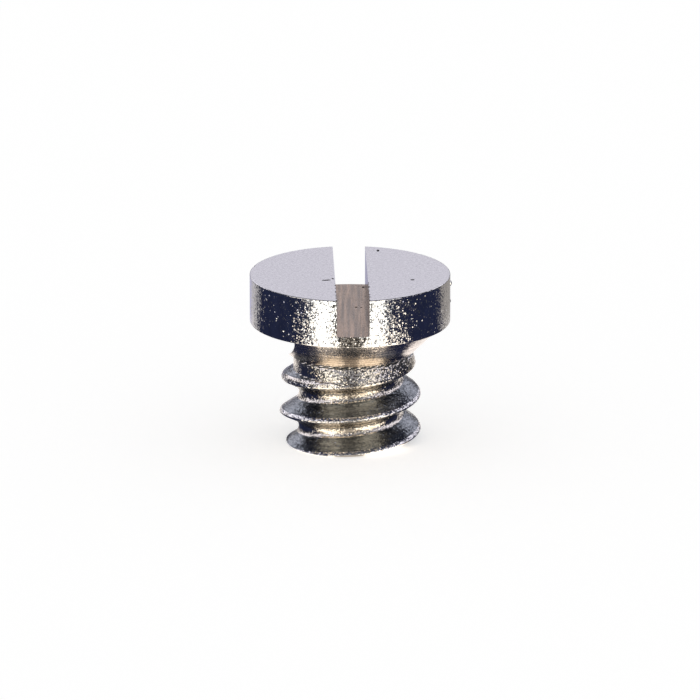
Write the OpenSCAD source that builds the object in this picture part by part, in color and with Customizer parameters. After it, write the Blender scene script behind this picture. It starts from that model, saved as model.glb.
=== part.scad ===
// Watch screw: a slotted cylinder head, a neck cone under it, and a short
// shank with a coarse right-hand thread that ends in a flat cut.
// It was turned, threaded and slotted from one bar, so it is one solid.
// Millimetres. The axis is Z, the cut end lies on Z = 0 and the head is on top.

/* [Head] */
// Diameter of the head
head_d = 1.41; // [1.3:0.01:2]
// Height of the head, from its underside to its top face
head_h = 0.34; // [0.3:0.01:0.6]
// Break along the head's two rims
rim_break = 0.007; // [0.002:0.001:0.03]

/* [Slot] */
// Width of the screwdriver slot
slot_w = 0.23; // [0.1:0.01:0.4]
// Depth of the slot below the top face
slot_depth = 0.26; // [0.1:0.01:0.27]
// How far the slot is turned from the Y axis, degrees
slot_turn = 1.3; // [-45:0.1:45]
// How far beside the axis the slot was sawn
slot_offset = 0.007; // [-0.05:0.001:0.05]

/* [Neck] */
// Diameter of the neck cone where it meets the head
cone_d = 1.328; // [1.2:0.002:1.36]
// Diameter at the foot of the cone
foot_d = 0.89; // [0.82:0.01:1]
// Depth of the cone's foot below the head
foot_depth = 0.218; // [0.18:0.002:0.26]
// Step in from the cone's foot to the shank
foot_step = 0.005; // [0.002:0.001:0.02]

/* [Thread] */
// Length of the shank, from the head's underside to the cut end
shank_l = 0.86; // [0.6:0.01:2]
// Diameter over the thread's crests
thread_d = 1; // [0.96:0.01:1.04]
// Diameter at the bottom of the groove
root_d = 0.724; // [0.64:0.002:0.78]
// Height that the thread climbs in one turn
pitch = 0.25; // [0.22:0.005:0.28]
// Radius at the bottom of the groove
root_round = 0.0575; // [0.03:0.0005:0.07]
// Lean of the flank that faces the head, degrees off the radius
upper_flank = 35; // [25:1:40]
// Lean of the flank that faces the cut end, degrees off the radius
lower_flank = 27; // [20:1:35]
// Width over which crest and flank blend
crest_blend = 0.023; // [0.005:0.001:0.04]
// Depth of the groove below the head, on the +X side
groove_depth = 0.396; // [0.37:0.002:0.43]
// Depth below the head at which the crests reach full diameter
full_depth = 0.531; // [0.4:0.001:0.6]

/* [Run-out] */
// Turn along the groove where it starts to get shallow, degrees from +X
fade_start = 150; // [90:5:180]
// Turn over which the groove fades out, degrees
fade_turn = 130; // [90:10:400]
// Direction of the notch that the threading tool left in the cone, degrees
notch_turn = 180; // [165:1:195]
// Distance from the axis to the bottom of that notch
notch_in = 0.388; // [0.36:0.002:0.44]
// Radius of the notch
notch_round = 0.08; // [0.05:0.005:0.09]
// Depth of the notch's middle below the head, where it passes the axis
notch_depth = 0.177; // [0.15:0.001:0.2]
// How far the notch leans down towards the back, degrees
notch_lean = 16; // [10:1:18]

/* [Smoothness] */
// Facets round one turn of the thread
turn_facets = 80; // [48:4:96]
// Facets up one pitch of the thread
pitch_facets = 18; // [12:1:20]

/* [Hidden] */
head_r = head_d / 2;
cone_r = cone_d / 2;
foot_r = foot_d / 2;
crest_r = thread_d / 2;
root_r = root_d / 2;
// Heights above the cut end
top_z = shank_l + head_h;
foot_z = shank_l - foot_depth;
// Each lower piece reaches this far into the one above, inside the metal
head_overlap = (head_h - slot_depth) / 2;
cone_overlap = foot_depth / 4;
thread_top_z = foot_z + cone_overlap;
// The shank's crests just below the cone
neck_r = foot_r - foot_step;
// How fast the crests widen from the neck to the full thread: 1 is a cone
neck_curve = 1.5;
// Smoothness of the turned surfaces
round_facets = 96;
// Room by which a cutter stands clear of the metal that it leaves
cut_room = 0.1;

// Smaller of two radii, with the corner between them blended over a width
function blended_min(a, b, width) =
    let (share = min(1, max(0, 0.5 + 0.5 * (b - a) / width)))
    b * (1 - share) + a * share - width * share * (1 - share);

// Rise of the groove's wall above its bottom, at a distance from its middle:
// a round bottom, and beyond it a straight flank
function wall_rise(distance, lean) =
    let (reach = root_round * cos(lean))
    distance <= reach
        ? root_round - sqrt(root_round * root_round - distance * distance)
        : root_round * (1 - sin(lean)) + (distance - reach) / tan(lean);

// Radius of the groove's surface at a height beside its middle. The bottom
// rises as the groove nears its end.
function groove_r(beside, turned) =
    let (
        lean = beside < 0 ? upper_flank : lower_flank,
        fade = min(1, max(0, (turned - fade_start) / fade_turn)),
        floor_r = root_r + (crest_r - root_r) * fade
    )
    max(floor_r, root_r + wall_rise(abs(beside), lean));

// Radius of the shank before threading: full, and narrower towards the head
function blank_r(z) =
    let (
        depth = shank_l - z,
        share = min(1, max(0, (full_depth - depth) / (full_depth - foot_depth)))
    )
    crest_r - (crest_r - neck_r) * pow(share, neck_curve);

// Radius of the threaded shank at a turn and height. The two grooves nearest
// to the point are tried, and the deeper one counts.
function thread_r(turn, z) =
    let (
        groove_z = shank_l - groove_depth,
        place = (z - groove_z) / pitch - turn / 360,
        below = floor(place),
        cut_r = min([for (n = [below, below + 1])
            groove_r((place - n) * pitch, turn + 360 * n)])
    )
    blended_min(blank_r(z), cut_r, crest_blend);

// The same, drawn in above the cone's foot so that it ends inside the cone
function shank_r(turn, z) =
    thread_r(turn, min(z, foot_z)) - max(0, z - foot_z);

// Head: a plain turned disc with broken rims
module head() {
    color("silver")
    translate([0, 0, shank_l])
    rotate_extrude($fn = round_facets)
    polygon([
        [0, 0],
        [head_r - rim_break, 0],
        [head_r, rim_break],
        [head_r, head_h - rim_break],
        [head_r - rim_break, head_h],
        [0, head_h]
    ]);
}

// Neck cone: turned from the head's underside in to the shank
module neck_cone() {
    color("rosybrown")
    rotate_extrude($fn = round_facets)
    polygon([
        [0, foot_z],
        [foot_r, foot_z],
        [cone_r, shank_l],
        [cone_r, shank_l + head_overlap],
        [0, shank_l + head_overlap]
    ]);
}

// Threaded shank: rings of points that climb with the thread, each point at
// the radius that the thread has there. The rings stop at the two end planes.
module threaded_shank() {
    rows = ceil(pitch_facets * (thread_top_z / pitch + 1));
    function row_z(column, row) =
        let (climb = (row / pitch_facets - 1 + column / turn_facets) * pitch)
        min(thread_top_z, max(0, climb));
    points = [
        for (column = [0:turn_facets - 1])
            let (turn = 360 * column / turn_facets)
            for (row = [0:rows])
                let (z = row_z(column, row), r = shank_r(turn, z))
                [r * cos(turn), r * sin(turn), z]
    ];
    end_point = len(points);
    top_point = end_point + 1;
    // After a full turn a row has climbed by one pitch
    function corner(column, row) =
        column < turn_facets
            ? column * (rows + 1) + row
            : min(rows, row + pitch_facets);
    // A facet with two corners in one place has no area and is left out
    function has_area(face) =
        points[face[0]] != points[face[1]]
        && points[face[1]] != points[face[2]]
        && points[face[2]] != points[face[0]];
    sides = [
        for (column = [0:turn_facets - 1])
            for (row = [0:rows - 1])
                let (
                    a = corner(column, row),
                    b = corner(column + 1, row),
                    c = corner(column + 1, row + 1),
                    d = corner(column, row + 1)
                )
                for (face = [[a, c, b], [a, d, c]])
                    if (has_area(face)) face
    ];
    ends = [
        for (column = [0:turn_facets - 1])
            let (next = column + 1)
            for (face = [
                [corner(column, 0), corner(next, 0), end_point],
                [corner(next, rows), corner(column, rows), top_point]
            ]) face
    ];
    color("gray")
    polyhedron(
        points = concat(points, [[0, 0, 0], [0, 0, thread_top_z]]),
        faces = concat(sides, ends)
    );
}

// Slot: sawn straight across the head and through its rim at both ends
module slot_cut() {
    rotate(slot_turn)
    translate([slot_offset, 0, top_z - slot_depth / 2 + cut_room / 2])
    cube([slot_w, head_d + cut_room, slot_depth + cut_room], center = true);
}

// Notch: the hollow in the cone that the round-nosed threading tool left. It
// runs straight across the cone's side and is open to the outside.
module notch_cut() {
    rotate(notch_turn)
    translate([notch_in + notch_round, 0, shank_l - notch_depth])
    rotate([notch_lean, 0, 0]) {
        rotate([90, 0, 0])
        cylinder(r = notch_round, h = cone_d, center = true, $fn = round_facets);
        translate([cone_r / 2, 0, 0])
        cube([cone_r, cone_d, 2 * notch_round], center = true);
    }
}

module screw() {
    color("silver")
    union() {
        difference() {
            head();
            slot_cut();
        }
        difference() {
            union() {
                neck_cone();
                threaded_shank();
            }
            notch_cut();
        }
    }
}

screw();
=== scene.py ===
# %% [markdown]
# # A watch screw, about 1.4 mm across
# This lesson builds the looks of one tiny slotted screw around a model that was made before in CAD.
# The CAD model has the true sizes. Its mesh is coarse, with some forty sides round the
# head, so here the screw is built again as one fine mesh of the same form, and it gets its finish.

# %% Load the frame
import math
import random

import bmesh
import bpy
from mathutils import Matrix, Vector


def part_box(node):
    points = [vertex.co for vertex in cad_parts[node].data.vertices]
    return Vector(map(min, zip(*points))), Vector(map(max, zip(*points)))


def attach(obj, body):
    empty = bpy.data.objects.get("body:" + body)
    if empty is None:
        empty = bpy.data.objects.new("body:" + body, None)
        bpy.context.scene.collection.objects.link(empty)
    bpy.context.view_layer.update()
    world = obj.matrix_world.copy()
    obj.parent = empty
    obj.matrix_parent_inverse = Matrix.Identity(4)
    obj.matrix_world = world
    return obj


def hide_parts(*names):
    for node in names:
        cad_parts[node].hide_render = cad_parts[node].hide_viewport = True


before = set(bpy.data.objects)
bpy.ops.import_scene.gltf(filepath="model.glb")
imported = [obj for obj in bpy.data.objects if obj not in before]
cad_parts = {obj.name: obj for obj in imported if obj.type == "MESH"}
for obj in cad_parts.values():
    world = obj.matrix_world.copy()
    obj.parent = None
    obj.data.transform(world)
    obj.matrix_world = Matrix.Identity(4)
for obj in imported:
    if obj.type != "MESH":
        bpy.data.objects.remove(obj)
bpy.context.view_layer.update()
low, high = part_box("screw")
MM = 0.001
head_r = (high.x - low.x) / 2
top_z = high.z
print("screw", [round(v / MM, 3) for v in high - low], "mm")

# %% [markdown]
# ## The camera first
# The photograph is a close-up with a long lens, looking down at 16.5 degrees. The slot's far end is
# almost as wide as its near end, so the camera stands far off for the size of the screw. A lens this
# long keeps the sides upright.

# %% Camera
VIEW_DEPRESSION = math.radians(16.5)
VIEW_DISTANCE = 75 * MM
FIELD_WIDTH = 4.928 * MM
LOOK_AT = Vector((0, 0, 0.639 * MM))

camera_data = bpy.data.cameras.new("camera")
camera_data.sensor_width = 36
camera_data.lens = camera_data.sensor_width * VIEW_DISTANCE / FIELD_WIDTH
camera_data.clip_start = 1 * MM
camera_data.clip_end = 500 * MM
camera = bpy.data.objects.new("camera", camera_data)
back = Vector((0, -math.cos(VIEW_DEPRESSION), math.sin(VIEW_DEPRESSION)))
camera.location = LOOK_AT + back * VIEW_DISTANCE
camera.rotation_euler = (-back).to_track_quat("-Z", "Y").to_euler()
bpy.context.scene.collection.objects.link(camera)
bpy.context.scene.camera = camera
print("lens", round(camera_data.lens), "mm")

# %% [markdown]
# ## Head and cone on the lathe
# The real screw was turned from a bar: a plain disc for the head and a cone under it. A turned part
# is half an outline, swept round an axis, and that is the spin operator. The rims get a small bevel
# after the spin, because no cut edge is perfectly sharp and the bevel catches a thin line of light.

# %% Head
HEAD_H = 0.34 * MM
CONE_R = 0.664 * MM
FOOT_R = 0.445 * MM
FOOT_DEPTH = 0.218 * MM
RIM_BREAK = 0.006 * MM
TURNS = 256
# Corners closer than this are one corner, and heights or radii this close count as the same
MERGE = 1e-4 * MM
SAME = 1e-3 * MM

shank_l = top_z - HEAD_H
foot_z = shank_l - FOOT_DEPTH


def spun(outline, steps):
    """A closed solid of revolution from (radius, height) points, the first and last on the axis."""
    bm = bmesh.new()
    verts = [bm.verts.new((r, 0, z)) for r, z in outline]
    edges = [bm.edges.new(pair) for pair in zip(verts, verts[1:])]
    bmesh.ops.spin(bm, geom=verts + edges, cent=(0, 0, 0), axis=(0, 0, 1),
                   angle=math.tau, steps=steps, use_merge=True)
    bmesh.ops.remove_doubles(bm, verts=bm.verts, dist=MERGE)
    bmesh.ops.recalc_face_normals(bm, faces=bm.faces)
    return bm


def piece_of(bm, name):
    """A mesh object made from a bmesh, which is used up."""
    mesh = bpy.data.meshes.new(name)
    bm.to_mesh(mesh)
    bm.free()
    made = bpy.data.objects.new(name, mesh)
    bpy.context.scene.collection.objects.link(made)
    return made


head_bm = spun([(0, shank_l), (head_r, shank_l), (head_r, top_z), (0, top_z)], TURNS)
rims = [e for e in head_bm.edges
        if all(abs(math.hypot(v.co.x, v.co.y) - head_r) < SAME for v in e.verts)
        and abs(e.verts[0].co.z - e.verts[1].co.z) < SAME]
bmesh.ops.bevel(head_bm, geom=rims, offset=RIM_BREAK, offset_type="OFFSET", segments=3,
                profile=0.5, affect="EDGES", material=-1)
screw = piece_of(head_bm, "watch_screw")
print("head:", len(screw.data.polygons), "faces")

# %% Neck cone
HEAD_OVERLAP = 0.04 * MM

cone_bm = spun([(0, foot_z), (FOOT_R, foot_z), (CONE_R, shank_l), (CONE_R, shank_l + HEAD_OVERLAP),
                (0, shank_l + HEAD_OVERLAP)], TURNS)
cone = piece_of(cone_bm, "neck_cone")
print("cone:", len(cone.data.polygons), "faces")

# %% [markdown]
# ## The thread
# A thread is one outline of the groove, turned and climbed at the same time. The spin operator does
# that too: its dvec moves each step a little along the axis. The outline is one pitch high, so each
# turn's upper edge meets the lower edge of the next, and merging doubles sews them together.
# The real groove was cut in one pass and fades out towards the head. That run-out is a rule in the
# radius, so after the spin each point is moved to the radius that the rule gives.

# %% Rule for the thread's radius
CREST_R = 0.5 * MM
ROOT_R = 0.362 * MM
PITCH = 0.25 * MM
ROOT_ROUND = 0.0575 * MM
UPPER_FLANK = math.radians(35)
LOWER_FLANK = math.radians(27)
CREST_BLEND = 0.023 * MM
GROOVE_DEPTH = 0.396 * MM
FULL_DEPTH = 0.531 * MM
FADE_START = 150
FADE_TURN = 130
NECK_R = 0.44 * MM
NECK_CURVE = 1.5


def clamped(value):
    """The value, kept from 0 to 1."""
    return min(1, max(0, value))


def wall_rise(distance, lean):
    """Rise of the groove's wall: a round bottom, and beyond it a straight flank."""
    reach = ROOT_ROUND * math.cos(lean)
    if distance <= reach:
        return ROOT_ROUND - math.sqrt(ROOT_ROUND ** 2 - distance ** 2)
    return ROOT_ROUND * (1 - math.sin(lean)) + (distance - reach) / math.tan(lean)


def groove_r(beside, turned):
    """Radius of the groove's surface beside its middle, where it has run for so many degrees."""
    lean = UPPER_FLANK if beside < 0 else LOWER_FLANK
    floor_r = ROOT_R + (CREST_R - ROOT_R) * clamped((turned - FADE_START) / FADE_TURN)
    return max(floor_r, ROOT_R + wall_rise(abs(beside), lean))


def blank_r(z):
    """Radius of the shank before threading, which narrows to the neck."""
    share = clamped((FULL_DEPTH - (shank_l - z)) / (FULL_DEPTH - FOOT_DEPTH))
    return CREST_R - (CREST_R - NECK_R) * share ** NECK_CURVE


def thread_r(turn, z):
    """Radius of the threaded shank, with crest and flank blended."""
    place = (z - shank_l + GROOVE_DEPTH) / PITCH - turn / 360
    below = math.floor(place)
    cut = min(groove_r((place - n) * PITCH, turn + 360 * n) for n in (below, below + 1))
    blank = blank_r(z)
    share = clamped(0.5 + 0.5 * (cut - blank) / CREST_BLEND)
    return cut * (1 - share) + blank * share - CREST_BLEND * share * (1 - share)


print("radius on the right, half way up:", round(thread_r(0, shank_l / 2) / MM, 3), "mm")

# %% Thread
THREAD_STEPS = 192
PITCH_POINTS = 40
OVERLAP = FOOT_DEPTH / 4
THREAD_TURNS = math.ceil((foot_z + OVERLAP) / PITCH) + 1

# The fine line turned in where the shank meets the cone
LINE_DEPTH = 0.012 * MM
LINE_BELOW = 0.008 * MM

thread_bm = bmesh.new()
ladder = [thread_bm.verts.new((CREST_R, 0, (i / PITCH_POINTS - 1) * PITCH))
          for i in range(PITCH_POINTS + 1)]
rungs = [thread_bm.edges.new(pair) for pair in zip(ladder, ladder[1:])]
bmesh.ops.spin(thread_bm, geom=ladder + rungs, cent=(0, 0, 0), axis=(0, 0, 1),
               dvec=(0, 0, PITCH / THREAD_STEPS), angle=math.tau * THREAD_TURNS,
               steps=THREAD_STEPS * THREAD_TURNS, use_merge=False)
bmesh.ops.remove_doubles(thread_bm, verts=thread_bm.verts, dist=SAME)
for end, side in ((0, -1), (foot_z + OVERLAP, 1)):
    bmesh.ops.bisect_plane(thread_bm, geom=thread_bm.verts[:] + thread_bm.edges[:] + thread_bm.faces[:],
                           plane_co=(0, 0, end), plane_no=(0, 0, side), clear_outer=True)
for v in thread_bm.verts:
    turn = math.degrees(math.atan2(v.co.y, v.co.x)) % 360
    radius = thread_r(turn, min(v.co.z, foot_z)) - max(0, v.co.z - foot_z)
    radius -= LINE_DEPTH * clamped(1 - abs(v.co.z - foot_z + LINE_BELOW) / LINE_BELOW)
    v.co.x, v.co.y = radius * math.cos(math.radians(turn)), radius * math.sin(math.radians(turn))
open_edges = [e for e in thread_bm.edges if e.is_boundary]
bmesh.ops.holes_fill(thread_bm, edges=open_edges, sides=0)
bmesh.ops.recalc_face_normals(thread_bm, faces=thread_bm.faces)
thread = piece_of(thread_bm, "thread")
print("thread:", len(thread.data.polygons), "faces in", THREAD_TURNS, "turns")

# %% [markdown]
# ## Slot and notch
# The slot was sawn and the notch was left by the threading tool, so both are cuts. A boolean does
# each with a cutter of the tool's own shape, as the CAD model did.

# %% Join and cut
SLOT_W = 0.23 * MM
SLOT_DEPTH = 0.26 * MM
SLOT_TURN = math.radians(1.3)
SLOT_OFFSET = 0.007 * MM
SAW_TILT = math.radians(0.9)
NOTCH_TURN = math.radians(180)
NOTCH_IN = 0.388 * MM
NOTCH_R = 0.08 * MM
NOTCH_DEPTH = 0.177 * MM
NOTCH_LEAN = math.radians(16)
ROOM = 0.1 * MM


def combined(piece, other, operation):
    """Joins or cuts piece with other, which is removed.

    The solver merges corners that are a few micrometres apart, so it works on a copy that is
    a thousand times as large.
    """
    enlarge = Matrix.Scale(1 / MM, 4)
    for each in (piece, other):
        each.data.transform(enlarge)
    modifier = piece.modifiers.new("combine", "BOOLEAN")
    modifier.operation = operation
    modifier.solver = "EXACT"
    modifier.object = other
    graph = bpy.context.evaluated_depsgraph_get()
    mesh = bpy.data.meshes.new_from_object(piece.evaluated_get(graph))
    mesh.transform(enlarge.inverted())
    piece.modifiers.clear()
    piece.data = mesh
    bpy.data.objects.remove(other)
    bm = bmesh.new()
    bm.from_mesh(mesh)
    loose = sum(e.is_boundary for e in bm.edges)
    bm.free()
    print(operation.lower(), "->", len(mesh.polygons), "faces,", loose, "open edges")


slot_bm = bmesh.new()
bmesh.ops.create_cube(slot_bm, size=1)
bmesh.ops.scale(slot_bm, vec=(SLOT_W, 2 * head_r + ROOM, SLOT_DEPTH + ROOM), verts=slot_bm.verts)
bmesh.ops.translate(slot_bm, vec=(SLOT_OFFSET, 0, top_z - SLOT_DEPTH / 2 + ROOM / 2),
                    verts=slot_bm.verts)
# The saw was not quite level: the floor sinks towards the far end
bmesh.ops.rotate(slot_bm, cent=(0, -head_r, top_z - SLOT_DEPTH), verts=slot_bm.verts,
                 matrix=Matrix.Rotation(-SAW_TILT, 3, "X"))
bmesh.ops.rotate(slot_bm, cent=(0, 0, 0), matrix=Matrix.Rotation(SLOT_TURN, 3, "Z"),
                 verts=slot_bm.verts)
slot_cutter = piece_of(slot_bm, "slot_cutter")

notch_bm = bmesh.new()
bmesh.ops.create_cone(notch_bm, cap_ends=True, segments=64, radius1=NOTCH_R, radius2=NOTCH_R,
                      depth=2 * CONE_R)
bmesh.ops.rotate(notch_bm, cent=(0, 0, 0), matrix=Matrix.Rotation(math.pi / 2, 3, "X"),
                 verts=notch_bm.verts)
# The outer half of the round is drawn out, so that the notch is open to the outside
for v in notch_bm.verts:
    if v.co.x > SAME:
        v.co.x += CONE_R
bmesh.ops.rotate(notch_bm, cent=(0, 0, 0), matrix=Matrix.Rotation(NOTCH_LEAN, 3, "X"),
                 verts=notch_bm.verts)
bmesh.ops.translate(notch_bm, vec=(NOTCH_IN + NOTCH_R, 0, shank_l - NOTCH_DEPTH), verts=notch_bm.verts)
bmesh.ops.rotate(notch_bm, cent=(0, 0, 0), matrix=Matrix.Rotation(NOTCH_TURN, 3, "Z"),
                 verts=notch_bm.verts)
notch_cutter = piece_of(notch_bm, "notch_cutter")

combined(screw, slot_cutter, "DIFFERENCE")
combined(cone, thread, "UNION")
combined(cone, notch_cutter, "DIFFERENCE")
combined(screw, cone, "UNION")

# %% [markdown]
# ## Wear
# The real screw has been handled: a scratch and two dots on its top face, a nick in the rim, pits in
# the side and the slot, chipped slot edges and crests, and two burrs that stand a hair proud on the
# right. Each hollow is a small ball pressed out of shape, and one boolean cuts them all at once.
# Pushing the corners of the mesh in would be quicker, but it needs far more faces to leave an edge
# this crisp.

# %% Marks that the photograph shows
# Centre in mm, half sizes in mm, and the turn about Z in degrees
HOLLOWS = [
    ((-0.165, -0.170, 1.2), (0.034, 0.013, 0.010), 12),
    ((-0.121, -0.134, 1.2), (0.008, 0.016, 0.008), 20),
    ((0.198, 0.583, 1.2), (0.010, 0.026, 0.008), 0),
    ((0.438, -0.161, 1.2), (0.016, 0.014, 0.008), -10),
    ((-0.687, 0.186, 1.196), (0.018, 0.024, 0.014), 15),
    ((0.494, 0.512, 1.198), (0.016, 0.022, 0.008), 45),
    ((0.250, -0.665, 1.118), (0.012, 0.010, 0.007), 21),
    ((0.272, -0.655, 1.105), (0.007, 0.008, 0.005), 21),
    ((0.236, -0.668, 1.092), (0.006, 0.008, 0.004), 21),
    ((0.043, 0.087, 0.928), (0.010, 0.014, 0.006), 0),
    ((0.079, 0.074, 0.928), (0.007, 0.010, 0.005), 0),
    ((0.095, 0.620, 0.919), (0.010, 0.020, 0.008), 0),
    ((-0.100, 0.640, 1.2), (0.010, 0.018, 0.007), 0),
]
BURRS = [
    ((0.702, 0.0, 1.13), (0.014, 0.012, 0.022), 0),
    ((0.702, 0.0, 1.0), (0.008, 0.010, 0.014), 0),
]
print("marks:", len(HOLLOWS), "hollows and", len(BURRS), "burrs")

# %% Chips along the slot
# In front, where the blade slips out. The sizes and places are in mm, like the marks.
CHIPS_A_SIDE = 9
SLOT_CHIP = (0.004, 0.010)
CHIP_START = -0.69
CHIP_SPACING = 0.055
CHIP_SHIFT = 0.02
CHIP_STRETCH = 1.8
# Hollows that overlap upset the boolean, so a chip keeps this many times both sizes free
CHIP_ROOM = 1.1


def add_chip(centre, half, turn):
    """Adds a hollow, unless it would touch one that is there already."""
    for other, other_half, _ in HOLLOWS:
        if (Vector(centre) - Vector(other)).length < CHIP_ROOM * (max(half) + max(other_half)):
            return
    HOLLOWS.append((tuple(centre), half, turn))


chips = random.Random(5)
for side in (-1, 1):
    for n in range(CHIPS_A_SIDE):
        x = SLOT_OFFSET / MM + side * SLOT_W / MM / 2
        size = chips.uniform(*SLOT_CHIP)
        y = CHIP_START + n * CHIP_SPACING + chips.uniform(-CHIP_SHIFT, CHIP_SHIFT)
        turned = Matrix.Rotation(SLOT_TURN, 3, "Z") @ Vector((x, y, top_z / MM))
        add_chip(turned, (size, size * CHIP_STRETCH, size), 0)
print("hollows with the slot's chips:", len(HOLLOWS))

# %% Chips along the crests
# Smaller ones, where the tool tore bits off. One in three lies at the cut end.
CREST_CHIPS = 90
CREST_CHIP = (0.003, 0.007)
CREST_CHIP_DEPTH = 0.6
CREST_CHIP_LENGTH = 1.5
END_CHIP_Z = 0.0012
# The pitch is tried in steps from the groove's middle upwards, and these steps hold the crest
PITCH_STEPS = 20
CREST_STEPS = range(4, 17)
NEAR_CREST = 0.01 * MM
CLEAR_OF_CONE = 0.03 * MM

for n in range(CREST_CHIPS):
    turn = chips.uniform(0, 360)
    if n % 3 == 0:
        z = END_CHIP_Z
    else:
        groove_z = (n % 3 - 2 + turn / 360) * PITCH + shank_l - GROOVE_DEPTH
        levels = [min(groove_z + i * PITCH / PITCH_STEPS, foot_z - CLEAR_OF_CONE) for i in CREST_STEPS]
        widest = max(thread_r(turn, level) for level in levels)
        z = max(0, chips.choice([h for h in levels if thread_r(turn, h) > widest - NEAR_CREST])) / MM
    size = chips.uniform(*CREST_CHIP)
    radius = thread_r(turn, z * MM) / MM
    at = Matrix.Rotation(math.radians(turn), 3, "Z") @ Vector((radius, 0, z))
    add_chip(at, (size * CREST_CHIP_DEPTH, size * CREST_CHIP_LENGTH, size), turn)
print("hollows with the crests' chips:", len(HOLLOWS))

# %% Cut the hollows and add the burrs


def ball_frame(centre, half, turn):
    """The matrix that makes one hollow or burr of a ball of radius 1."""
    return (Matrix.Translation(Vector(centre) * MM) @ Matrix.Rotation(math.radians(turn), 4, "Z")
            @ Matrix.Diagonal([h * MM for h in half] + [1]))


def balls(places, name):
    """One object with a small ball at each place."""
    bm = bmesh.new()
    for place in places:
        bmesh.ops.create_icosphere(bm, subdivisions=2, radius=1, matrix=ball_frame(*place))
    return piece_of(bm, name)


combined(screw, balls(BURRS, "burrs"), "UNION")
combined(screw, balls(HOLLOWS, "hollows"), "DIFFERENCE")

# %% [markdown]
# ## The plate
# The real screw is steel with a thin satin nickel plate. Such a plate is made of fine crystals, and
# each mirrors the room at its own small angle, so the metal sparkles instead of shining evenly. A
# noise bump would wave the surface softly, so here flat cells, each with its own lean, give the
# separate sparks. How far they lean, and the marks under them, depend on how each surface was made,
# so one recipe serves them all. One small function adds a node and its links, and another turns the
# hex colours to linear.

# %% Helpers for materials


def linear(hex_colour):
    """An sRGB hex colour as the linear values that the nodes take."""
    parts = [int(hex_colour[i:i + 2], 16) / 255 for i in (1, 3, 5)]
    return [p / 12.92 if p <= 0.04045 else ((p + 0.055) / 1.055) ** 2.4 for p in parts] + [1]


def node(tree, kind, settings=None, inputs=None):
    """Adds a node. Inputs are values, or sockets to link from."""
    made = tree.nodes.new(kind)
    for name, value in (settings or {}).items():
        setattr(made, name, value)
    for name, value in (inputs or {}).items():
        if isinstance(value, bpy.types.NodeSocket):
            tree.links.new(value, made.inputs[name])
        else:
            made.inputs[name].default_value = value
    return made


def new_material(name):
    """A material with an empty node tree and its output."""
    material = bpy.data.materials.new(name)
    material.use_nodes = True
    material.node_tree.nodes.clear()
    return material, material.node_tree, material.node_tree.nodes.new("ShaderNodeOutputMaterial")


def mixed_colour(tree, fac, first, second):
    """Two colours mixed."""
    mix = node(tree, "ShaderNodeMix", {"data_type": "RGBA"})
    for socket, value in ((mix.inputs[0], fac), (mix.inputs[6], first), (mix.inputs[7], second)):
        if isinstance(value, bpy.types.NodeSocket):
            tree.links.new(value, socket)
        else:
            socket.default_value = value
    return mix.outputs[2]


print("middle grey in linear:", round(linear("#808080")[0], 3))

# %% Recipe for the plate
# The crystals of real nickel plate are finer than this. They are drawn about as wide as one dot of
# the picture, which is as coarse as they need to be to show.
GRAIN = 0.0075 * MM
# The higher, the fewer grains glint
RARITY = 14
# The part of the noise over which the marks go from the first colour to the second
MARK_RANGE = (0.35, 0.65)


def plated(name, colours, roughness, tilt, marks, mark_size, rise, glints=0.0, metallic=1.0,
           edge="#FFFFFF"):
    """Nickel plate: tiny flat grains, each tilted its own way, over marks that the tool left.

    The marks are a pattern of mark_size, with the three scales in marks: the smaller a scale, the
    longer the marks that way. They change the colour between the two colours and wave the surface
    by rise. The grains lean by tilt, and the rare ones by glints times as much on top.
    """
    material, tree, output = new_material(name)
    place = node(tree, "ShaderNodeTexCoord").outputs["Object"]
    drawn = node(tree, "ShaderNodeMapping", {}, {"Vector": place, "Scale": marks})
    waves = node(tree, "ShaderNodeTexNoise", {"noise_dimensions": "3D"},
                 {"Vector": drawn.outputs[0], "Scale": 1 / mark_size, "Detail": 2, "Roughness": 0.6})
    bump = node(tree, "ShaderNodeBump", {},
                {"Height": waves.outputs["Fac"], "Strength": 1, "Distance": rise})
    share = node(tree, "ShaderNodeMapRange", {},
                 {"Value": waves.outputs["Fac"], "From Min": MARK_RANGE[0], "From Max": MARK_RANGE[1]})
    shade = mixed_colour(tree, share.outputs[0], linear(colours[0]), linear(colours[1]))
    grains = node(tree, "ShaderNodeTexVoronoi", {"voronoi_dimensions": "3D"},
                  {"Vector": place, "Scale": 1 / GRAIN})
    # A few grains lean several times as far as the rest, and glint in the dark parts
    chance = node(tree, "ShaderNodeTexWhiteNoise", {"noise_dimensions": "3D"},
                  {"Vector": grains.outputs["Position"]})
    rare = node(tree, "ShaderNodeMath", {"operation": "POWER"}, {0: chance.outputs["Value"], 1: RARITY})
    reach = node(tree, "ShaderNodeMath", {"operation": "MULTIPLY_ADD"},
                 {0: rare.outputs[0], 1: glints * tilt, 2: tilt})
    lean = node(tree, "ShaderNodeVectorMath", {"operation": "SUBTRACT"},
                {0: grains.outputs["Color"], 1: (0.5, 0.5, 0.5)})
    lean = node(tree, "ShaderNodeVectorMath", {"operation": "SCALE"},
                {0: lean.outputs[0], "Scale": reach.outputs[0]})
    normal = node(tree, "ShaderNodeVectorMath", {"operation": "ADD"},
                  {0: lean.outputs[0], 1: bump.outputs["Normal"]})
    normal = node(tree, "ShaderNodeVectorMath", {"operation": "NORMALIZE"}, {0: normal.outputs[0]})
    shader = node(tree, "ShaderNodeBsdfPrincipled", {},
                  {"Base Color": shade, "Metallic": metallic, "Roughness": roughness,
                   "Specular Tint": linear(edge), "Normal": normal.outputs[0]})
    tree.links.new(shader.outputs[0], output.inputs["Surface"])
    return material


print("grain", round(GRAIN / MM, 4), "mm")

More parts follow.
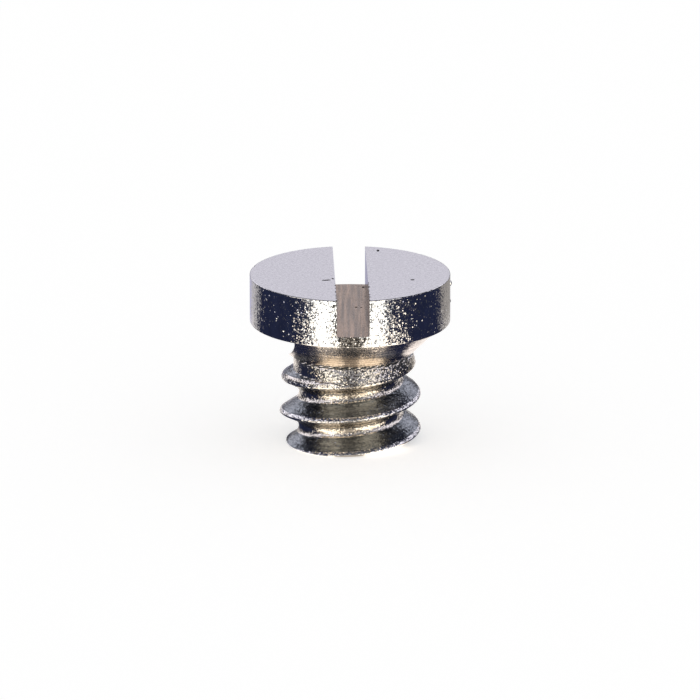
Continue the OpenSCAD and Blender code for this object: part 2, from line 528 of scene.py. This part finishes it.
# %% Finishes
# Satin nickel plate on the turned side of the head: smooth under its grains, so the sparkle is
# sharp, with faint marks along the axis
plate_side = plated("nickel_plate_grained", ("#D2D0CE", "#BEBCBA"), 0.08, 0.17,
                    (1, 1, 0.35), 0.05 * MM, 0.003 * MM, glints=4)
# Satin nickel plate on the faced top: even, finely mottled, and hardly any sparkle
plate_top = plated("nickel_plate_faced", ("#9A9896", "#848281"), 0.2, 0.06,
                   (1, 1, 1), 0.02 * MM, 0.0004 * MM)
# Satin nickel plate on the turned cone: fine rings from the lathe, and a little warm
plate_cone = plated("nickel_plate_turned", ("#DAD0C6", "#A9A097"), 0.14, 0.08,
                    (0, 0, 1), 0.02 * MM, 0.0004 * MM)
# Worn nickel plate on the sawn floor of the slot: dull and stained brown, with the saw's streaks
plate_slot = plated("nickel_plate_sawn", ("#7E6852", "#483B2C"), 0.25, 0.12,
                    (1, 0.03, 1), 0.022 * MM, 0.001 * MM, edge="#FCF8F3")
# Nickel plate in the groove, where the threading tool tore the steel: coarse, with many sparks
plate_thread = plated("nickel_plate_threaded", ("#D0CAC2", "#B4ADA2"), 0.12, 0.27,
                      (0.3, 0.3, 1), 0.03 * MM, 0.002 * MM, glints=4)
# Nickel plate on the crests, knocked and rubbed: its grains lean the most, for a broken bright line
plate_crest = plated("nickel_plate_crest", ("#D2D0CE", "#BEBCBA"), 0.1, 0.42,
                     (0.5, 0.5, 1), 0.02 * MM, 0.002 * MM, glints=2)
# Nickel plate on the flanks that face the head, dull and streaked by the tool. Its colour is written dark
# as a painted shade of these flanks, which face up
plate_flank = plated("nickel_plate_flank_painted_shade", ("#787C7E", "#585C5F"), 0.2, 0.2,
                     (0.15, 0.15, 1), 0.012 * MM, 0.0008 * MM, glints=5)
# Painted shade in the pits and chips: nearly black and dull
dark_pit = plated("painted_shade_in_the_pits", ("#3C3839", "#2E2A2B"), 0.5, 0.2,
                  (1, 1, 1), 0.02 * MM, 0.001 * MM, metallic=0.5)
FINISHES = (plate_side, plate_top, plate_cone, plate_slot, plate_thread, plate_flank, plate_crest, dark_pit)
SIDE, TOP, CONE, SLOT, THREAD, FLANK, CREST, PIT = range(len(FINISHES))
screw.data.materials.clear()
for finish in FINISHES:
    screw.data.materials.append(finish)
print("finishes:", [finish.name for finish in FINISHES])

# %% [markdown]
# ## Which face gets which finish
# The piece is one mesh, so each face is given its finish by where it lies and which way it faces.
# Painting a mask would do it too, but a rule keeps working when a size above is changed.

# %% Sort the faces
# How far from the top face, the head's side and the crests a face still counts as one of theirs
TOP_SKIN = 0.002 * MM
RIM_SKIN = 0.012 * MM
CREST_SKIN = 0.022 * MM
# Half way up the metal under the slot
SLOT_ABOVE = 0.5 * (HEAD_H - SLOT_DEPTH)
# A face belongs to a hollow if all its corners lie within this many times the ball's radius
BALL_REACH = 1.02
# Z of a face's normal: 1 is level and faces up, 0 is upright, and the cone overhangs at 45 degrees
CONE_NORMAL = -0.707
CONE_NORMAL_ROOM = 0.1
TOP_NORMAL = 0.9
LEVEL_NORMAL = 0.7
CREST_NORMAL = 0.8
FLANK_NORMAL = 0.72
INTO_BALLS = [ball_frame(*place).inverted() for place in HOLLOWS]


def zone(centre, normal, corners):
    """The finish of a face, from where it lies and which way it faces."""
    radius = math.hypot(centre.x, centre.y)
    # Faces inside a hollow take the near-black painted shade
    if any(all((into @ corner).length < BALL_REACH for corner in corners) for into in INTO_BALLS):
        return PIT
    if centre.z > top_z - TOP_SKIN and normal.z > TOP_NORMAL:
        return TOP
    if centre.z > shank_l + SLOT_ABOVE and radius < head_r - RIM_SKIN:
        return SLOT if normal.z > LEVEL_NORMAL else TOP
    if foot_z < centre.z < shank_l and abs(normal.z - CONE_NORMAL) < CONE_NORMAL_ROOM and radius > FOOT_R:
        return CONE
    if centre.z > shank_l:
        return SIDE
    if radius > CREST_R - CREST_SKIN and abs(normal.z) < CREST_NORMAL:
        return CREST
    # The flanks that face up take the plate whose dark colour is painted shade
    return FLANK if normal.z > FLANK_NORMAL else THREAD


for face in screw.data.polygons:
    corners = [screw.data.vertices[n].co for n in face.vertices]
    face.material_index = zone(face.center, face.normal, corners)
for index, finish in enumerate(FINISHES):
    print(finish.name, sum(face.material_index == index for face in screw.data.polygons), "faces")

# %% [markdown]
# ## Hand the piece over
# The fine mesh takes the place of the coarse CAD mesh in the picture and moves with the same body.

# %% Finish the piece
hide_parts("screw")
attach(screw, "root")
print(screw.name, "takes the place of the node screw")

# %% [markdown]
# ## Stage
# A metal shows what stands round it. The studio is a white floor that fills the picture, a card in
# the shape of an open drum round the screw, whose shades the metal mirrors, and a second card
# overhead. The cards show in reflections alone. There are no lamps: each would leave one hot spot,
# where the photograph has broad bands.

# %% Floor
FLOOR_SIZE = 200 * MM
FLOOR_GAP = 0.004 * MM
FLOOR_GLOW = 0.55

floor_bm = bmesh.new()
bmesh.ops.create_grid(floor_bm, x_segments=1, y_segments=1, size=FLOOR_SIZE / 2)
bmesh.ops.translate(floor_bm, vec=(0, 0, -FLOOR_GAP), verts=floor_bm.verts)
floor = piece_of(floor_bm, "floor")
floor_paint, tree, output = new_material("white_paper")
paper = node(tree, "ShaderNodeBsdfDiffuse", {}, {"Color": linear("#E0E0E0")})
glow = node(tree, "ShaderNodeEmission", {}, {"Color": (1, 1, 1, 1), "Strength": FLOOR_GLOW})
both = node(tree, "ShaderNodeAddShader", {}, {0: paper.outputs[0], 1: glow.outputs[0]})
tree.links.new(both.outputs[0], output.inputs["Surface"])
floor.data.materials.append(floor_paint)
print("floor", round(FLOOR_SIZE / MM), "mm wide")

# %% [markdown]
# ## The card
# The screw is a mirror bent round an axis, so each bearing on it shows one bearing of the room. The
# card's shades are therefore written by bearing, in degrees from the camera, left negative. The
# head's side mirrors the far floor, 3 to 5 mm off, and the crests mirror the near floor. The cone's
# sides mirror a narrow ring close to the screw, and the top mirrors the wall, 13 mm up. The card
# shines brighter than white, and the metal's colours are written darker in turn.

# %% Shades of the card
CARD_R = 40 * MM
CARD_WALL = 32 * MM
CARD_SHINE = 3.2
CARD_SIDES = 96
FAR_SHADES = [
    (-180, "#767585"), (-150, "#767585"), (-142, "#828081"), (-131, "#828081"), (-119, "#131729"),
    (-44, "#131729"), (-33, "#FFFFFA"), (-19, "#FFFFFA"), (-14, "#2A2622"), (17, "#2A2622"),
    (22, "#FFFFFA"), (29, "#FFFFFA"), (41, "#131729"), (116, "#131729"), (126, "#686563"),
    (160, "#686563"), (180, "#767585"),
]
NEAR_SHADES = [
    (-180, "#A8A4A2"), (-140, "#A8A4A2"), (-119, "#131729"), (-60, "#131729"), (-47, "#FFF4E4"),
    (-17, "#FFF4E4"), (-10, "#807A72"), (10, "#807A72"), (17, "#FFF4E4"), (52, "#FFF4E4"),
    (66, "#131729"), (118, "#131729"), (132, "#A8A4A2"), (180, "#A8A4A2"),
]
FOOT_SHADES = [
    (-180, "#A8A4A2"), (-140, "#A8A4A2"), (-119, "#131729"), (-60, "#131729"), (-46, "#D2C2AC"),
    (-24, "#D2C2AC"), (-14, "#6A6058"), (12, "#6A6058"), (22, "#D2C2AC"), (46, "#D2C2AC"),
    (60, "#131729"), (112, "#131729"), (126, "#B8B2B0"), (180, "#A8A4A2"),
]
WALL_SHADES = [
    (-180, "#B9B8C3"), (-166, "#B9B8C3"), (-150, "#D2CED0"), (-120, "#D2CED0"), (-100, "#242630"),
    (-72, "#131729"), (-58, "#E6E2DA"), (-22, "#E6E2DA"), (-14, "#33302D"), (18, "#33302D"),
    (26, "#E6E2DA"), (42, "#E6E2DA"), (56, "#131729"), (100, "#242630"), (120, "#8A8B96"),
    (156, "#8A8B96"), (166, "#B9B8C3"), (180, "#B9B8C3"),
]
DARK_SHADE = linear("#101218")
# The ring on the wall where the top face looks. It is darker in front, because the thread shows
# that part.
FRONT_SHADE = linear("#6A6B72")
RING_SHADE = linear("#B9B8C3")
# Far off and low down in front, where two bounces off cone and thread look
LOW_SHADE = linear("#2C2E32")
print("card", round(CARD_R / MM), "mm in radius")

# %% Where one shade gives way to the next
# Distances on the floor from the screw's axis
FOOT_START = (0.74 * MM, 0.82 * MM)
FOOT_END = (1 * MM, 1.1 * MM)
NEAR_END = (2.6 * MM, 3.4 * MM)
FAR_END = (7 * MM, 9 * MM)
# Heights on the wall
WALL_START = (0, 0.1 * MM)
FRONT_START = (2 * MM, 5 * MM)
BACK_START = (6 * MM, 9 * MM)
RING_START = (9 * MM, 11.5 * MM)
RING_END = (25 * MM, 31 * MM)
# Along Y, where the wall turns from the front's shades to the back's, and the ring to its paler part
BEHIND = (-0.2 * CARD_R, 0.2 * CARD_R)
NOT_IN_FRONT = (-0.9 * CARD_R, -0.6 * CARD_R)


def ramp_of(tree, fac, shades):
    """A colour ramp by bearing, from -180 to 180 degrees."""
    ramp = node(tree, "ShaderNodeValToRGB", {}, {"Fac": fac})
    stops = ramp.color_ramp.elements
    while len(stops) > 1:
        stops.remove(stops[-1])
    for index, (angle, shade) in enumerate(shades):
        on_ramp = (angle + 180) / 360
        stop = stops[0] if index == 0 else stops.new(on_ramp)
        stop.position = on_ramp
        stop.color = linear(shade)
    return ramp.outputs["Color"]


def between(tree, value, ends):
    """0 before the first of two ends, 1 past the second and a soft step from one to the other."""
    return node(tree, "ShaderNodeMapRange", {"interpolation_type": "SMOOTHSTEP"},
                {"Value": value, "From Min": ends[0], "From Max": ends[1]}).outputs[0]


def glossy_only(card):
    """A card that shows in reflections alone."""
    card.visible_camera = False
    card.visible_diffuse = False
    card.visible_shadow = False
    card.visible_transmission = False


print("the wall's ring:", [round(z / MM, 1) for z in RING_START + RING_END], "mm up")

# %% Card
card_bm = bmesh.new()
bmesh.ops.create_circle(card_bm, cap_ends=True, segments=CARD_SIDES, radius=CARD_R)
bmesh.ops.translate(card_bm, vec=(0, 0, -FLOOR_GAP / 2), verts=card_bm.verts)
rim = bmesh.ops.extrude_edge_only(card_bm, edges=card_bm.edges[:])
bmesh.ops.translate(card_bm, vec=(0, 0, CARD_WALL),
                    verts=[v for v in rim["geom"] if isinstance(v, bmesh.types.BMVert)])
card = piece_of(card_bm, "shade_card")
card_paint, tree, output = new_material("shaded_card")
place = node(tree, "ShaderNodeTexCoord").outputs["Object"]
axes = node(tree, "ShaderNodeSeparateXYZ", {}, {0: place})
height = axes.outputs["Z"]
distance = node(tree, "ShaderNodeVectorMath", {"operation": "LENGTH"}, {0: place}).outputs["Value"]
# The bearing from the camera's side: 0.5 straight in front, growing to the right
turned = node(tree, "ShaderNodeMapping", {}, {"Vector": place, "Rotation": (0, 0, math.radians(90))})
bearing = node(tree, "ShaderNodeTexGradient", {"gradient_type": "RADIAL"}, {"Vector": turned.outputs[0]})
bearing = bearing.outputs["Fac"]

# The floor, from the axis outwards
foot_ring = node(tree, "ShaderNodeMath", {"operation": "SUBTRACT"},
                 {0: between(tree, distance, FOOT_START), 1: between(tree, distance, FOOT_END)})
floor_shade = mixed_colour(tree, foot_ring.outputs[0],
                           ramp_of(tree, bearing, NEAR_SHADES), ramp_of(tree, bearing, FOOT_SHADES))
floor_shade = mixed_colour(tree, between(tree, distance, NEAR_END),
                           floor_shade, ramp_of(tree, bearing, FAR_SHADES))
floor_shade = mixed_colour(tree, between(tree, distance, FAR_END), floor_shade, LOW_SHADE)

# The wall, from the floor upwards
wall_shade = ramp_of(tree, bearing, WALL_SHADES)
front_shade = mixed_colour(tree, between(tree, height, FRONT_START), LOW_SHADE, wall_shade)
back_shade = mixed_colour(tree, between(tree, height, BACK_START), DARK_SHADE, wall_shade)
wall_shade = mixed_colour(tree, between(tree, axes.outputs["Y"], BEHIND), front_shade, back_shade)
ring_shade = mixed_colour(tree, between(tree, axes.outputs["Y"], NOT_IN_FRONT), FRONT_SHADE, RING_SHADE)
wall_shade = mixed_colour(tree, between(tree, height, RING_START), wall_shade, ring_shade)
wall_shade = mixed_colour(tree, between(tree, height, RING_END), wall_shade, DARK_SHADE)

shade = mixed_colour(tree, between(tree, height, WALL_START), floor_shade, wall_shade)
shine = node(tree, "ShaderNodeEmission", {}, {"Color": shade, "Strength": CARD_SHINE})
tree.links.new(shine.outputs[0], output.inputs["Surface"])
card.data.materials.append(card_paint)
glossy_only(card)
print("card:", len(tree.nodes), "nodes")

# %% [markdown]
# ## Overhead
# The flanks that face the head look almost straight up. The card over them is pale above the screw
# and in front, and dark behind and at both sides, which leaves the flanks pale in the middle only.

# %% Card overhead
PALE_ROOF = linear("#80817F")
DARK_ROOF = linear("#333A52")
# Where the pale patch ends behind, at the left and at the right
PATCH_BEHIND = (8 * MM, 18 * MM)
PATCH_LEFT = (-3 * MM, -8 * MM)
PATCH_RIGHT = (9 * MM, 14 * MM)

roof_bm = bmesh.new()
bmesh.ops.create_circle(roof_bm, cap_ends=True, segments=CARD_SIDES, radius=CARD_R)
bmesh.ops.translate(roof_bm, vec=(0, 0, CARD_WALL), verts=roof_bm.verts)
roof = piece_of(roof_bm, "roof_card")
roof_paint, tree, output = new_material("grey_card")
place = node(tree, "ShaderNodeTexCoord").outputs["Object"]
axes = node(tree, "ShaderNodeSeparateXYZ", {}, {0: place})
shade = mixed_colour(tree, between(tree, axes.outputs["Y"], PATCH_BEHIND), PALE_ROOF, DARK_ROOF)
shade = mixed_colour(tree, between(tree, axes.outputs["X"], PATCH_LEFT), shade, DARK_ROOF)
shade = mixed_colour(tree, between(tree, axes.outputs["X"], PATCH_RIGHT), shade, DARK_ROOF)
shine = node(tree, "ShaderNodeEmission", {}, {"Color": shade, "Strength": 1})
tree.links.new(shine.outputs[0], output.inputs["Surface"])
roof.data.materials.append(roof_paint)
glossy_only(roof)
print("roof at", round(CARD_WALL / MM), "mm")

# %% [markdown]
# ## The world
# The world is plain and even, and it is white to the camera and in reflections, so the background
# is white without any more light on the screw.

# %% World
WORLD_LIGHT = 0.6

world = bpy.data.worlds.new("studio")
world.use_nodes = True
tree = world.node_tree
tree.nodes.clear()
output = tree.nodes.new("ShaderNodeOutputWorld")
rays = node(tree, "ShaderNodeLightPath")
seen = node(tree, "ShaderNodeMath", {"operation": "ADD", "use_clamp": True},
            {0: rays.outputs["Is Camera Ray"], 1: rays.outputs["Is Glossy Ray"]})
seen = node(tree, "ShaderNodeMath", {"operation": "ADD", "use_clamp": True},
            {0: seen.outputs[0], 1: rays.outputs["Is Transmission Ray"]})
plain = node(tree, "ShaderNodeBackground", {}, {"Color": linear("#FFFFFF"), "Strength": WORLD_LIGHT})
white = node(tree, "ShaderNodeBackground", {}, {"Color": linear("#FBF9FF"), "Strength": 1})
mixed = node(tree, "ShaderNodeMixShader", {},
             {0: seen.outputs[0], 1: plain.outputs[0], 2: white.outputs[0]})
tree.links.new(mixed.outputs[0], output.inputs["Surface"])
bpy.context.scene.world = world
bpy.context.scene.view_settings.view_transform = "Standard"
print("world light", WORLD_LIGHT)
